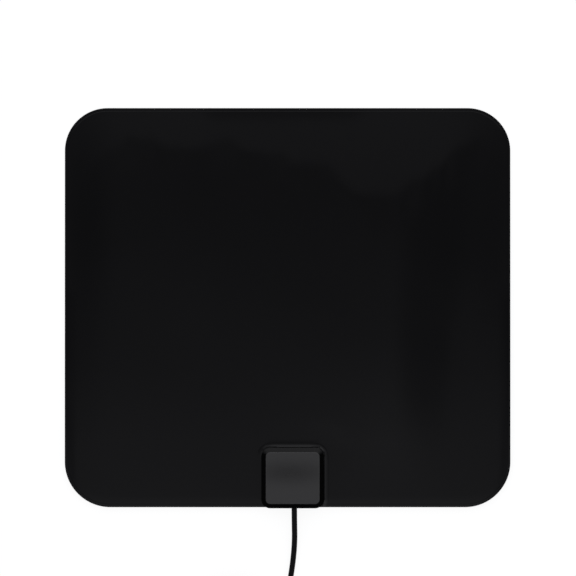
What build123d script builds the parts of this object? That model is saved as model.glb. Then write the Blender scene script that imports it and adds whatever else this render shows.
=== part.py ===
from build123d import *
from math import atan, cos, degrees, hypot, pi, radians, sin, tan
import os

# Flat indoor television antenna: two bonded plastic films with a foil dipole between them,
# a small junction box clamped on the lower edge, and a thin coaxial lead that ends in a plug.
# The panel lies on its back. X runs to the right and Y to the panel's upper edge, as the panel
# is seen from the front, and Z runs up from the table. The origin is under the panel's middle,
# on the table. Sizes are in millimetres.

# Film panel
panel_width = 240.0
panel_height = 215.0
upper_corner_radius = 23.0
lower_corner_radius = 24.5
rear_film_thickness = 0.25
front_film_thickness = 0.35
seal_rim_width = 1.6
seal_rim_depth = 0.1
bend_length = 40.0
bend_margin = 3.0

# Foil elements, measured from the feed line between them
foil_thickness = 0.10
foil_gap = 4.0
loop_width = 104.0
loop_upper_height = 90.0
loop_feed_depth = 62.0
loop_feed_width = 26.0
loop_outer_depth = 22.0
loop_strip = 12.0
loop_corner_radius = 5.0
feed_tab_width = 7.0
feed_tab_margin = 3.0

# Junction box
box_width = 34.0
box_length = 32.9
box_corner_radius = 5.0
box_offset = 2.75
box_overhang = 0.6
rear_cover_height = 2.2
rear_cover_floor = 1.2
rear_cover_chamfer = 0.4
front_cover_height = 6.5
front_cover_roof = 1.5
front_cover_draft = 2.0
face_bevel_width = 2.55
face_bevel_height = 2.1
face_edge_radius = 0.5
box_wall = 1.5
corner_pad = 6.0

# Screws of the box
screw_spacing_width = 24.0
screw_spacing_length = 23.0
screw_radius = 0.95
screw_length = 5.0
screw_head_radius = 1.8
screw_head_height = 1.1
screw_head_recess = 1.2
screw_recess_length = 2.0
screw_recess_width = 0.5
screw_recess_depth = 0.6
screw_tip_clearance = 0.3
screw_clearance = 0.1
boss_radius = 2.2

# Circuit board, its eyelets and the posts that hold it down
board_width = 17.0
board_length = 18.0
board_thickness = 1.0
board_corner_radius = 0.8
board_shift = 1.5
eyelet_spacing = 11.6
eyelet_shift = 8.0
eyelet_radius = 1.0
eyelet_bore_radius = 0.7
eyelet_flange_radius = 1.9
eyelet_flange_thickness = 0.2
eyelet_clearance = 0.05
post_spacing = 13.0
post_shift = -5.5
post_radius = 1.0

# Balun: a two-hole ferrite core and two hairpin windings
core_width = 6.6
core_length = 4.0
core_height = 3.4
core_shift = 4.5
core_hole_radius = 0.85
core_hole_spacing = 3.0
wire_radius = 0.2
wire_bend_radius = 0.4
winding_spread = 0.35
winding_loop = 0.6
winding_drop = 1.2
winding_pad = 1.0

# Coaxial lead
cable_radius = 1.5
cable_shift = 0.85
cable_rise = 2.2
cable_clearance = 0.1
jacket_margin = 1.85
braid_radius = 1.1
braid_length = 5.8
dielectric_radius = 0.75
dielectric_length = 1.2
conductor_radius = 0.25
conductor_reach = 0.9
conductor_pad = 0.8
conductor_bend_radius = 0.5
layer_clearance = 0.02
clamp_thickness = 0.3
clamp_width = 2.4
clamp_foot = 1.4
clamp_margin = 2.2
clamp_clearance = 0.05

# Passage of the lead through the box
notch_width = 17.0
notch_depth = 6.8
notch_clearance = 0.2
rib_width = 4.0
rib_thickness = 0.8
rib_offset = 3.45
rib_spacing = 2.0

# Coil of the lead that is put away
coil_radius = 17.0
coil_columns = 4
coil_layers = 4
coil_turn_pitch = 3.1
coil_layer_pitch = 2.7
coil_corner = 1.2
coil_groove_clearance = 0.6
tie_thickness = 0.6
tie_width = 4.0
tie_turn = 180.0
tie_twist_length = 8.0
tie_twist_radius = 0.9

# Plug
plug_relief_length = 12.0
plug_relief_rear_radius = 2.4
plug_relief_front_radius = 3.3
plug_groove_count = 4
plug_groove_width = 0.9
plug_groove_depth = 0.45
plug_shoulder_radius = 4.8
plug_shoulder_length = 2.0
plug_grip_length = 20.0
plug_grip_radius = 5.75
plug_grip_chamfer = 0.5
plug_flute_count = 12
plug_flute_radius = 0.6
plug_flute_margin = 3.5
plug_shell_radius = 4.75
plug_shell_wall = 0.5
plug_shell_exposed = 9.2
plug_shell_depth = 6.0
plug_neck_length = 0.3
plug_neck_depth = 0.2
plug_insulator_length = 5.0
plug_pin_radius = 1.18
plug_pin_recess = 0.8
plug_pin_root = 3.0
plug_clearance = 0.03

# Levels above the table
film_thickness = rear_film_thickness + front_film_thickness
seat_level = rear_cover_height
film_level = seat_level + film_thickness
board_level = film_level + board_thickness
roof_level = film_level + front_cover_height - front_cover_roof
cable_level = film_level + cable_rise

# Places in the panel
lower_edge = -panel_height / 2
box_x = box_offset
box_y = lower_edge - box_overhang + box_length / 2
box_lower = -box_length / 2
bend_end = box_y + box_length / 2 + bend_margin
bend_tangent = bend_length / 2
lean_angle = atan(seat_level / (panel_height / 2 - bend_end - bend_tangent))
bend_radius = bend_tangent / tan(lean_angle / 2)
eyelet_places = [(-eyelet_spacing / 2, eyelet_shift), (eyelet_spacing / 2, eyelet_shift)]
post_places = [(-post_spacing / 2, post_shift), (post_spacing / 2, post_shift)]
inner_width = box_width - 2 * box_wall
inner_length = box_length - 2 * box_wall
inner_corner_radius = box_corner_radius - box_wall
board_lower = board_shift - board_length / 2
jacket_end = board_lower - jacket_margin
cable_inside = jacket_end - box_lower
rib_places = [
    (cable_shift, box_lower + rib_offset),
    (cable_shift, box_lower + rib_offset + rib_spacing),
]
slot_radius = cable_radius + cable_clearance
cable_underside = cable_level - cable_radius - cable_clearance
cable_topside = cable_level + cable_radius + cable_clearance

os.makedirs("parts", exist_ok=True)


def box_plane(level):
    """Horizontal plane at a level, with its origin at the middle of the junction box."""
    return Plane((box_x, box_y, level))


def box_underside(level):
    """The same plane turned to look down, for holes that are drilled upwards."""
    return Plane((box_x, box_y, level), x_dir=(1, 0, 0), z_dir=(0, 0, -1))


def box_section(across, along):
    """Upright plane across the box, whose local Y is height above the table."""
    return Plane((box_x + across, box_y + along, 0), x_dir=(1, 0, 0), z_dir=(0, -1, 0))


# Film panel


def bent_edge(height):
    """Section line of the laminate at a height above its rear face: straight lean, arc, level.
    Gives its first and its last piece."""
    lean = (-cos(lean_angle), sin(lean_angle))
    bend_start_y = bend_end + bend_tangent * (1 + cos(lean_angle)) + height * sin(lean_angle)
    bend_start_z = seat_level - bend_tangent * sin(lean_angle) + height * cos(lean_angle)
    incline = Line((panel_height / 2, height / cos(lean_angle)), (bend_start_y, bend_start_z))
    bend = JernArc(incline @ 1, lean, bend_radius + height, degrees(lean_angle))
    level = Line(bend @ 1, (lower_edge, (bend @ 1).Y))
    return incline, level


def bent_section(low, high):
    """Upright section of one layer of the laminate, between two heights above its rear face."""
    with BuildSketch(Plane.YZ) as section:
        with BuildLine():
            under_incline, under_level = bent_edge(low)
            over_incline, over_level = bent_edge(high)
            Line(under_incline @ 0, over_incline @ 0)
            Line(under_level @ 1, over_level @ 1)
        make_face()
    return section.sketch


def sheet_outline(inset):
    """Rounded outline of the panel, drawn in from its edge."""
    with BuildSketch() as outline:
        Rectangle(panel_width - 2 * inset, panel_height - 2 * inset)
        fillet(outline.vertices().group_by(Axis.Y)[-1], upper_corner_radius - inset)
        fillet(outline.vertices().group_by(Axis.Y)[0], lower_corner_radius - inset)
    return outline.sketch


def film_outline():
    """Outline of a film: rounded sheet, notch for the lead, holes for screws and eyelets."""
    with BuildSketch() as outline:
        add(sheet_outline(0))
        with Locations((box_x, lower_edge)):
            Rectangle(notch_width, 2 * notch_depth, mode=Mode.SUBTRACT)
        with Locations((box_x, box_y)):
            with GridLocations(screw_spacing_width, screw_spacing_length, 2, 2):
                Circle(screw_radius + screw_clearance, mode=Mode.SUBTRACT)
            with Locations(*eyelet_places):
                Circle(eyelet_radius + eyelet_clearance, mode=Mode.SUBTRACT)
    return outline.sketch


with BuildPart() as rear_film:
    extrude(bent_section(0, rear_film_thickness), amount=panel_width / 2, both=True)
    extrude(film_outline(), amount=2 * film_level, both=True, mode=Mode.INTERSECT)

# Each foil element is a closed loop with a sloping lower side and a tab down to its eyelet
foil_top = rear_film_thickness + foil_thickness

with BuildPart() as element_right:
    extrude(bent_section(rear_film_thickness, foil_top), amount=panel_width / 2, both=True)
    with BuildSketch(Plane((box_x, 0, 0))) as loop:
        with BuildLine():
            Polyline(
                (foil_gap, -loop_feed_depth),
                (loop_feed_width, -loop_feed_depth),
                (loop_width, -loop_outer_depth),
                (loop_width, loop_upper_height),
                (foil_gap, loop_upper_height),
                close=True,
            )
        make_face()
        fillet(loop.vertices(), loop_corner_radius)
        offset(amount=-loop_strip, mode=Mode.SUBTRACT)
        tab_end = box_y + eyelet_shift - eyelet_flange_radius - feed_tab_margin
        tab_root = -loop_feed_depth + loop_strip / 2
        with Locations((eyelet_spacing / 2, (tab_end + tab_root) / 2)):
            Rectangle(feed_tab_width, tab_root - tab_end)
        with Locations((eyelet_spacing / 2, box_y + eyelet_shift)):
            Circle(eyelet_radius + eyelet_clearance, mode=Mode.SUBTRACT)
    extrude(amount=2 * film_level, both=True, mode=Mode.INTERSECT)

with BuildPart() as element_left:
    mirror(element_right.part, about=Plane.YZ.offset(box_x))

# The front film is pressed down round the foil, so its rear face has the foil's shape in it,
# and round the panel's edge, where a narrow sealed rim lies lower than the rest
rim_top = film_thickness - seal_rim_depth

with BuildPart() as front_film:
    extrude(bent_section(rim_top, film_thickness), amount=panel_width / 2, both=True)
    extrude(sheet_outline(seal_rim_width), amount=2 * film_level, both=True, mode=Mode.INTERSECT)
    extrude(bent_section(rear_film_thickness, rim_top), amount=panel_width / 2, both=True)
    extrude(film_outline(), amount=2 * film_level, both=True, mode=Mode.INTERSECT)
    add(element_right.part, mode=Mode.SUBTRACT)
    add(element_left.part, mode=Mode.SUBTRACT)

# Junction box covers, which clamp the film between their rims

with BuildPart() as rear_cover:
    with BuildSketch(box_plane(0)):
        RectangleRounded(box_width, box_length, box_corner_radius)
    extrude(amount=rear_cover_height)
    chamfer(rear_cover.edges().group_by(Axis.Z)[0], rear_cover_chamfer)
    # Hollow that leaves a solid pad in each corner for the screws
    with BuildSketch(box_plane(rear_cover_floor)):
        Rectangle(inner_width, inner_length - 2 * corner_pad)
        Rectangle(inner_width - 2 * corner_pad, inner_length)
    extrude(amount=rear_cover_height - rear_cover_floor, mode=Mode.SUBTRACT)
    # Lip that fills the film's notch, and a tongue that closes the lead's slot from below
    with BuildSketch(box_plane(seat_level)):
        with Locations((0, box_lower + box_wall / 2)):
            Rectangle(notch_width - 2 * notch_clearance, box_wall)
    extrude(amount=film_thickness)
    with BuildSketch(box_plane(film_level)):
        with Locations((cable_shift, box_lower + box_wall / 2)):
            Rectangle(2 * (slot_radius - cable_clearance), box_wall)
    extrude(amount=cable_underside - film_level)
    # Ribs under the lead
    with BuildSketch(box_plane(rear_cover_floor)):
        with Locations(*rib_places):
            Rectangle(rib_width, rib_thickness)
    extrude(amount=cable_underside - rear_cover_floor)
    with Locations(box_underside(0)):
        with GridLocations(screw_spacing_width, screw_spacing_length, 2, 2):
            CounterBoreHole(
                screw_radius + screw_clearance,
                screw_head_radius + screw_clearance,
                screw_head_recess,
                depth=rear_cover_height,
            )

# The front cover's walls stand steep, and a bevel leads from them to the flat face
bevel_taper = degrees(atan(face_bevel_width / face_bevel_height))
wall_height = front_cover_height - face_bevel_height
bevel_slant = hypot(face_bevel_width, face_bevel_height)
bevel_drop = box_wall * (bevel_slant - face_bevel_height) / face_bevel_width
hollow_wall_height = wall_height - bevel_drop
hollow_bevel_height = roof_level - film_level - hollow_wall_height
draft_slope = tan(radians(front_cover_draft))
wall_inset = wall_height * draft_slope
hollow_inset = hollow_wall_height * draft_slope

with BuildPart() as front_cover:
    with BuildSketch(box_plane(film_level)):
        RectangleRounded(box_width, box_length, box_corner_radius)
    extrude(amount=wall_height, taper=front_cover_draft)
    with BuildSketch(box_plane(film_level + wall_height)):
        RectangleRounded(
            box_width - 2 * wall_inset,
            box_length - 2 * wall_inset,
            box_corner_radius - wall_inset,
        )
    extrude(amount=face_bevel_height, taper=bevel_taper)
    fillet(front_cover.edges().group_by(Axis.Z)[-1], face_edge_radius)
    # Hollow that keeps the wall's thickness behind the bevel too
    with BuildSketch(box_plane(film_level)):
        RectangleRounded(inner_width, inner_length, inner_corner_radius)
    extrude(amount=hollow_wall_height, taper=front_cover_draft, mode=Mode.SUBTRACT)
    with BuildSketch(box_plane(film_level + hollow_wall_height)):
        RectangleRounded(
            inner_width - 2 * hollow_inset,
            inner_length - 2 * hollow_inset,
            inner_corner_radius - hollow_inset,
        )
    extrude(amount=hollow_bevel_height, taper=bevel_taper, mode=Mode.SUBTRACT)
    # Screw bosses
    with BuildSketch(box_plane(film_level)):
        with GridLocations(screw_spacing_width, screw_spacing_length, 2, 2):
            Circle(boss_radius)
    extrude(amount=roof_level + front_cover_roof / 2 - film_level)
    # Posts that hold the board down
    with BuildSketch(box_plane(board_level)):
        with Locations(*post_places):
            Circle(post_radius)
    extrude(amount=roof_level + front_cover_roof / 2 - board_level)
    # Ribs over the lead
    with BuildSketch(box_plane(cable_topside)):
        with Locations(*rib_places):
            Rectangle(rib_width, rib_thickness)
    extrude(amount=roof_level + front_cover_roof / 2 - cable_topside)
    # Slot for the lead, open towards the film
    with BuildSketch(box_section(cable_shift, box_lower)):
        with Locations((0, cable_level)):
            Circle(slot_radius)
        with Locations((0, (film_level + cable_level) / 2)):
            Rectangle(2 * slot_radius, cable_rise)
    slot_depth = box_wall + front_cover_height * draft_slope
    extrude(amount=-slot_depth, mode=Mode.SUBTRACT)
    # Screw holes in the bosses
    boss_hole_depth = screw_length + screw_head_recess - film_level + screw_tip_clearance
    with Locations(box_underside(film_level)):
        with GridLocations(screw_spacing_width, screw_spacing_length, 2, 2):
            Hole(screw_radius + screw_clearance, depth=boss_hole_depth)

with BuildPart() as cover_screws:
    with BuildSketch(box_plane(screw_head_recess - screw_head_height)):
        with GridLocations(screw_spacing_width, screw_spacing_length, 2, 2):
            Circle(screw_head_radius)
    extrude(amount=screw_head_height)
    with BuildSketch(box_plane(screw_head_recess)):
        with GridLocations(screw_spacing_width, screw_spacing_length, 2, 2):
            Circle(screw_radius)
    extrude(amount=screw_length)
    with BuildSketch(box_plane(screw_head_recess - screw_head_height)):
        with GridLocations(screw_spacing_width, screw_spacing_length, 2, 2):
            Rectangle(screw_recess_length, screw_recess_width)
            Rectangle(screw_recess_width, screw_recess_length)
    extrude(amount=screw_recess_depth, mode=Mode.SUBTRACT)

# Circuit board and its eyelets

with BuildPart() as circuit_board:
    with BuildSketch(box_plane(film_level)):
        with Locations((0, board_shift)):
            RectangleRounded(board_width, board_length, board_corner_radius)
        with Locations(*eyelet_places):
            Circle(eyelet_radius + eyelet_clearance, mode=Mode.SUBTRACT)
    extrude(amount=board_thickness)

eyelet_foot = seat_level - eyelet_flange_thickness
eyelet_head = board_level + eyelet_flange_thickness

with BuildPart() as contact_eyelets:
    with BuildSketch(box_plane(eyelet_foot)):
        with Locations(*eyelet_places):
            Circle(eyelet_flange_radius)
    extrude(amount=eyelet_flange_thickness)
    with BuildSketch(box_plane(board_level)):
        with Locations(*eyelet_places):
            Circle(eyelet_flange_radius)
    extrude(amount=eyelet_flange_thickness)
    with BuildSketch(box_plane(eyelet_foot)):
        with Locations(*eyelet_places):
            Circle(eyelet_radius)
    extrude(amount=eyelet_head - eyelet_foot)
    with BuildSketch(box_plane(eyelet_foot)):
        with Locations(*eyelet_places):
            Circle(eyelet_bore_radius)
    extrude(amount=eyelet_head - eyelet_foot, mode=Mode.SUBTRACT)

# Balun

core_lower = core_shift - core_length / 2
core_upper = core_shift + core_length / 2
core_axis = board_level + core_height / 2

with BuildPart() as balun_core:
    with BuildSketch(box_section(0, core_lower)):
        with Locations((0, core_axis)):
            SlotOverall(core_width, core_height)
            with Locations((-core_hole_spacing / 2, 0), (core_hole_spacing / 2, 0)):
                Circle(core_hole_radius, mode=Mode.SUBTRACT)
    extrude(amount=-core_length)


def hairpin(lead_side, height):
    """Points of a winding: from its pad into one hole, across, and back out to its other pad.

    lead_side is 1 where the leads come out at the upper end of the core, and -1 at the lower.
    """
    near = core_upper if lead_side > 0 else core_lower
    far = core_lower if lead_side > 0 else core_upper
    left = box_x - core_hole_spacing / 2
    right = box_x + core_hole_spacing / 2
    pad_level = board_level + wire_radius
    bend = box_y + near + lead_side * winding_loop
    foot = bend + lead_side * winding_drop
    tip = foot + lead_side * winding_pad
    turn = box_y + far - lead_side * winding_loop
    one_side = [(tip, pad_level), (foot, pad_level), (bend, height), (turn, height)]
    out = [(left, along, level) for along, level in one_side]
    back = [(right, along, level) for along, level in reversed(one_side)]
    return out + back


with BuildPart() as primary_winding:
    with BuildLine() as primary_path:
        FilletPolyline(*hairpin(1, core_axis + winding_spread), radius=wire_bend_radius)
    with BuildSketch(Plane(primary_path.line @ 0, z_dir=primary_path.line % 0)):
        Circle(wire_radius)
    sweep()

with BuildPart() as secondary_winding:
    with BuildLine() as secondary_path:
        FilletPolyline(*hairpin(-1, core_axis - winding_spread), radius=wire_bend_radius)
    with BuildSketch(Plane(secondary_path.line @ 0, z_dir=secondary_path.line % 0)):
        Circle(wire_radius)
    sweep()

# Stripped end of the lead, and the clamp that holds its braid to the board

braid_end = jacket_end + braid_length
dielectric_end = braid_end + dielectric_length

with BuildPart() as coax_braid:
    with BuildSketch(box_section(cable_shift, jacket_end)):
        with Locations((0, cable_level)):
            Circle(braid_radius)
            Circle(dielectric_radius + layer_clearance, mode=Mode.SUBTRACT)
    extrude(amount=-braid_length)

with BuildPart() as coax_dielectric:
    with BuildSketch(box_section(cable_shift, jacket_end)):
        with Locations((0, cable_level)):
            Circle(dielectric_radius)
            Circle(conductor_radius + layer_clearance, mode=Mode.SUBTRACT)
    extrude(amount=-(braid_length + dielectric_length))

with BuildPart() as coax_conductor:
    pad_level = board_level + conductor_radius
    conductor_bend = dielectric_end + conductor_reach
    with BuildLine() as conductor_path:
        FilletPolyline(
            (box_x + cable_shift, box_y + jacket_end, cable_level),
            (box_x + cable_shift, box_y + dielectric_end + conductor_reach / 2, cable_level),
            (box_x + cable_shift, box_y + conductor_bend + conductor_reach / 2, pad_level),
            (box_x + cable_shift, box_y + conductor_bend + conductor_reach / 2 + conductor_pad, pad_level),
            radius=conductor_bend_radius,
        )
    with BuildSketch(Plane(conductor_path.line @ 0, z_dir=conductor_path.line % 0)):
        Circle(conductor_radius)
    sweep()

with BuildPart() as braid_clamp:
    clamp_inner = braid_radius + clamp_clearance
    clamp_outer = clamp_inner + clamp_thickness
    leg_height = cable_level - board_level
    with BuildSketch(box_section(cable_shift, board_lower + clamp_margin - clamp_width / 2)):
        with Locations((0, cable_level)):
            Circle(clamp_outer)
        with Locations((0, board_level + leg_height / 2)):
            Rectangle(2 * clamp_outer, leg_height)
        with Locations((0, board_level + clamp_thickness / 2)):
            Rectangle(2 * (clamp_outer + clamp_foot), clamp_thickness)
        with Locations((0, cable_level)):
            Circle(clamp_inner, mode=Mode.SUBTRACT)
        with Locations((0, board_level + leg_height / 2)):
            Rectangle(2 * clamp_inner, leg_height, mode=Mode.SUBTRACT)
        with Locations((0, board_level - clamp_outer)):
            Rectangle(4 * clamp_outer, 2 * clamp_outer, mode=Mode.SUBTRACT)
    extrude(amount=-clamp_width)

# Coaxial lead: a tube that comes down to the table, the coil, and a tube to the plug


def corner_radii(points):
    """Radius at each corner of a route: 0.45 of its shorter run over the tangent of half its turn."""
    runs = [after - before for before, after in zip(points, points[1:])]
    radii = []
    for run, following in zip(runs, runs[1:]):
        half_turn = radians(run.get_angle(following)) / 2
        radii.append(0.45 * min(run.length, following.length) / tan(half_turn))
    return radii


cable_exit = Vector(box_x + cable_shift, box_y + box_lower, cable_level)
run_route = [
    Vector(cable_exit.X, cable_exit.Y + cable_inside, cable_level),
    Vector(cable_exit.X, cable_exit.Y - 5.4, cable_level),
    Vector(cable_exit.X + 0.3, cable_exit.Y - 17.9, cable_radius + 0.8),
    Vector(cable_exit.X - 0.9, cable_exit.Y - 30.9, cable_radius),
    Vector(cable_exit.X - 3.3, cable_exit.Y - 44.9, cable_radius),
    Vector(cable_exit.X - 7.5, cable_exit.Y - 58.4, cable_radius),
    Vector(cable_exit.X - 13.1, cable_exit.Y - 71.4, cable_radius),
]
run_radii = corner_radii(run_route)

with BuildPart() as cable_run:
    with BuildLine() as run_path:
        FilletPolyline(*run_route, radius=run_radii)
    with BuildSketch(Plane(run_path.line @ 0, z_dir=run_path.line % 0)):
        Circle(cable_radius)
    sweep()

# The lead joins the coil's outer turn on the table, and leaves it from the top layer
coil_width = coil_columns * coil_turn_pitch
coil_height = 2 * cable_radius + (coil_layers - 1) * coil_layer_pitch
outer_turn_radius = coil_radius + (coil_columns - 1) * coil_turn_pitch / 2
upper_turn_radius = outer_turn_radius - coil_turn_pitch / 2
entry_heading = (run_route[-1] - run_route[-2]).normalized()
entry_outward = Vector(-entry_heading.Y, entry_heading.X, 0)
coil_centre = run_route[-1] - entry_outward * outer_turn_radius
coil_axis = Axis((coil_centre.X, coil_centre.Y, 0), (0, 0, 1))
coil_exit = Vector(
    coil_centre.X, coil_centre.Y - upper_turn_radius, coil_height - cable_radius
)


def coil_section(turn):
    """Upright plane through the coil's axis, turned about it, whose local Y is height."""
    radial = Vector(1, 0, 0).rotate(Axis.Z, turn)
    return Plane(coil_axis.position, x_dir=radial, z_dir=radial.cross(Vector(0, 0, 1)))


with BuildPart() as coil_tie:
    tie_angle = degrees(tie_width / coil_radius)
    with BuildSketch(coil_section(tie_turn)) as tie_section:
        with Locations((coil_radius, coil_height / 2)):
            Rectangle(coil_width, coil_height)
        chamfer(tie_section.vertices(), coil_corner)
        offset(amount=-tie_thickness, mode=Mode.SUBTRACT)
    revolve(axis=coil_axis, revolution_arc=tie_angle)
    # Twisted ends of the tie, which stand out from the coil's outer side
    tail_radial = Vector(1, 0, 0).rotate(Axis.Z, tie_turn + tie_angle / 2)
    tail_start = coil_axis.position + tail_radial * (coil_radius + coil_width / 2 - tie_thickness / 2)
    tail_plane = Plane(tail_start + Vector(0, 0, coil_height / 2), x_dir=(0, 0, 1), z_dir=tail_radial)
    with BuildSketch(tail_plane):
        Circle(tie_twist_radius)
    extrude(amount=tie_twist_length + tie_thickness / 2)
    twist_end = coil_tie.edges().filter_by(GeomType.CIRCLE).sort_by(Axis(tail_start, tail_radial))[-1]
    fillet(twist_end, tie_twist_radius / 2)

with BuildPart() as cable_coil:
    with BuildSketch(coil_section(0)) as ring_section:
        with Locations((coil_radius, coil_height / 2)):
            Rectangle(coil_width, coil_height)
        chamfer(ring_section.vertices(), coil_corner)
    revolve(axis=coil_axis)
    # Grooves where the lead runs into the coil and out of it
    groove_half = cable_radius + coil_groove_clearance
    groove_length = coil_radius + coil_width
    with BuildSketch(Plane(run_route[-1], x_dir=entry_outward, z_dir=-entry_heading)):
        with Locations((coil_width / 2 - groove_half, 0)):
            Rectangle(coil_width, 2 * groove_half)
    extrude(amount=groove_length, mode=Mode.SUBTRACT)
    with BuildSketch(Plane(coil_exit, x_dir=(0, -1, 0), z_dir=(-1, 0, 0))):
        with Locations((coil_width / 2 - groove_half, 0)):
            Rectangle(coil_width, 2 * groove_half)
    extrude(amount=groove_length, mode=Mode.SUBTRACT)
    add(coil_tie.part, mode=Mode.SUBTRACT)

tail_route = [
    coil_exit,
    Vector(coil_exit.X - 14.0, coil_exit.Y, coil_exit.Z),
    Vector(coil_exit.X - 28.0, coil_exit.Y + 2.0, plug_grip_radius),
    Vector(coil_exit.X - 41.0, coil_exit.Y + 2.0, plug_grip_radius),
]
tail_radii = corner_radii(tail_route)

with BuildPart() as cable_tail:
    with BuildLine() as tail_path:
        FilletPolyline(*tail_route, radius=tail_radii)
    with BuildSketch(Plane(tail_path.line @ 0, z_dir=tail_path.line % 0)):
        Circle(cable_radius)
    sweep()

# Plug, which lies on the table beyond the coil and points along -X
plug_rear = tail_route[-1]
plug_axis = Axis(plug_rear, (-1, 0, 0))
plug_section = Plane(plug_rear, x_dir=(-1, 0, 0), z_dir=(0, 1, 0))
grip_start = plug_relief_length + plug_shoulder_length
grip_end = grip_start + plug_grip_length
socket_floor = grip_end - plug_shell_depth
sleeve_start = grip_end + plug_neck_length
shell_tip = grip_end + plug_shell_exposed
neck_radius = plug_shell_radius - plug_neck_depth
shell_bore = plug_shell_radius - plug_shell_wall
pin_tip = shell_tip - plug_pin_recess
pin_start = socket_floor - plug_pin_root


def plug_plane(distance):
    """Plane square to the plug's axis, at a distance from its rear end."""
    return Plane(plug_rear + Vector(-distance, 0, 0), x_dir=(0, 1, 0), z_dir=(-1, 0, 0))


with BuildPart() as plug_grip:
    with BuildSketch(plug_section) as grip_profile:
        with BuildLine():
            Polyline(
                (0, 0),
                (0, plug_relief_rear_radius),
                (plug_relief_length, plug_relief_front_radius),
                (plug_relief_length, plug_shoulder_radius),
                (grip_start, plug_grip_radius),
                (grip_end, plug_grip_radius),
                (grip_end, 0),
                close=True,
            )
        make_face()
        outer_corners = grip_profile.vertices().group_by(Axis.Y)[-1]
        chamfer(outer_corners, plug_grip_chamfer)
        # Ring grooves that let the strain relief bend
        groove_pitch = plug_relief_length / (plug_groove_count + 1)
        groove_floor = plug_relief_rear_radius - plug_groove_depth
        groove_rim = plug_relief_front_radius
        for groove in range(plug_groove_count):
            with Locations(((groove + 1) * groove_pitch, (groove_floor + groove_rim) / 2)):
                Rectangle(plug_groove_width, groove_rim - groove_floor, mode=Mode.SUBTRACT)
    revolve(axis=plug_axis)
    # Flutes along the grip, which end short of its two collars
    with BuildSketch(plug_plane(grip_start + plug_flute_margin)):
        with PolarLocations(plug_grip_radius, plug_flute_count):
            Circle(plug_flute_radius)
    extrude(amount=plug_grip_length - 2 * plug_flute_margin, mode=Mode.SUBTRACT)
    # Socket for the shell, and the pin's root below it
    with BuildSketch(plug_plane(socket_floor)):
        Circle(neck_radius + plug_clearance)
    extrude(amount=plug_shell_depth, mode=Mode.SUBTRACT)
    with BuildSketch(plug_plane(pin_start)):
        Circle(plug_pin_radius + plug_clearance)
    extrude(amount=plug_pin_root, mode=Mode.SUBTRACT)

with BuildPart() as plug_shell:
    with BuildSketch(plug_plane(socket_floor)):
        Circle(neck_radius)
    extrude(amount=shell_tip - socket_floor)
    with BuildSketch(plug_plane(sleeve_start)):
        Circle(plug_shell_radius)
    extrude(amount=shell_tip - sleeve_start)
    with BuildSketch(plug_plane(socket_floor)):
        Circle(shell_bore)
    extrude(amount=shell_tip - socket_floor, mode=Mode.SUBTRACT)

with BuildPart() as plug_insulator:
    with BuildSketch(plug_plane(socket_floor)):
        Circle(shell_bore - plug_clearance)
        Circle(plug_pin_radius + plug_clearance, mode=Mode.SUBTRACT)
    extrude(amount=plug_insulator_length)

with BuildPart() as plug_pin:
    with BuildSketch(plug_plane(pin_start)):
        Circle(plug_pin_radius)
    extrude(amount=pin_tip - pin_start)
    fillet(plug_pin.edges().sort_by(Axis.X)[0], plug_pin_radius / 2)

# One file for each piece
pieces = {
    "rear_film": rear_film,
    "element_left": element_left,
    "element_right": element_right,
    "front_film": front_film,
    "rear_cover": rear_cover,
    "front_cover": front_cover,
    "cover_screws": cover_screws,
    "circuit_board": circuit_board,
    "contact_eyelets": contact_eyelets,
    "balun_core": balun_core,
    "primary_winding": primary_winding,
    "secondary_winding": secondary_winding,
    "braid_clamp": braid_clamp,
    "coax_braid": coax_braid,
    "coax_dielectric": coax_dielectric,
    "coax_conductor": coax_conductor,
    "cable_run": cable_run,
    "cable_coil": cable_coil,
    "coil_tie": coil_tie,
    "cable_tail": cable_tail,
    "plug_grip": plug_grip,
    "plug_shell": plug_shell,
    "plug_insulator": plug_insulator,
    "plug_pin": plug_pin,
}
for name, piece in pieces.items():
    piece.part.label = name
    export_step(piece.part, f"parts/{name}.step")

# The tubes of the lead: their bends, and their volume against section times length
cable_section = pi * cable_radius**2
for name, tube, path, radii in (
    ("cable_run", cable_run, run_path, run_radii),
    ("cable_tail", cable_tail, tail_path, tail_radii),
):
    share = tube.part.volume / (cable_section * path.wire().length)
    print(name, "length", round(path.wire().length, 1), "radii", [round(radius, 1) for radius in radii])
    print(name, "volume over section times length", round(share, 4))
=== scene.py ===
from math import cos, pi, radians, sin, tan

import bpy
import numpy as np
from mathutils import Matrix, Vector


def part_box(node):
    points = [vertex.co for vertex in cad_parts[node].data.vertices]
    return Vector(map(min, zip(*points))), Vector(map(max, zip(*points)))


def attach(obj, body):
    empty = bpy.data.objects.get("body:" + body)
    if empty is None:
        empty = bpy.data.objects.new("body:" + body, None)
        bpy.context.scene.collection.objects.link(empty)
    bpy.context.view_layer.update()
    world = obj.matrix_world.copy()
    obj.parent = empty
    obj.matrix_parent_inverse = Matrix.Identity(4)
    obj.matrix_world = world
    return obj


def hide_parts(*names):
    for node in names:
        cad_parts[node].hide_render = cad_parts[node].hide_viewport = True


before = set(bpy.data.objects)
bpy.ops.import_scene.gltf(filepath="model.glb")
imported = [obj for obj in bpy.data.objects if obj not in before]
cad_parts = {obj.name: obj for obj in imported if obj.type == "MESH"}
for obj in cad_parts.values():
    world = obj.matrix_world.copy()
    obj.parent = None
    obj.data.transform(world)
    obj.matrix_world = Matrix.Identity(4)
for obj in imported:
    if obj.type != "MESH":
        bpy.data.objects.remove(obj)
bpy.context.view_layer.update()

mm = 0.001

# Rear film
# Satin black PVC sheet, 0.25 mm thick, calendered with a fine grain. It is the back of the panel,
# which rests on its upper edge and leans up to the junction box, where a slight bend levels it.


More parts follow.
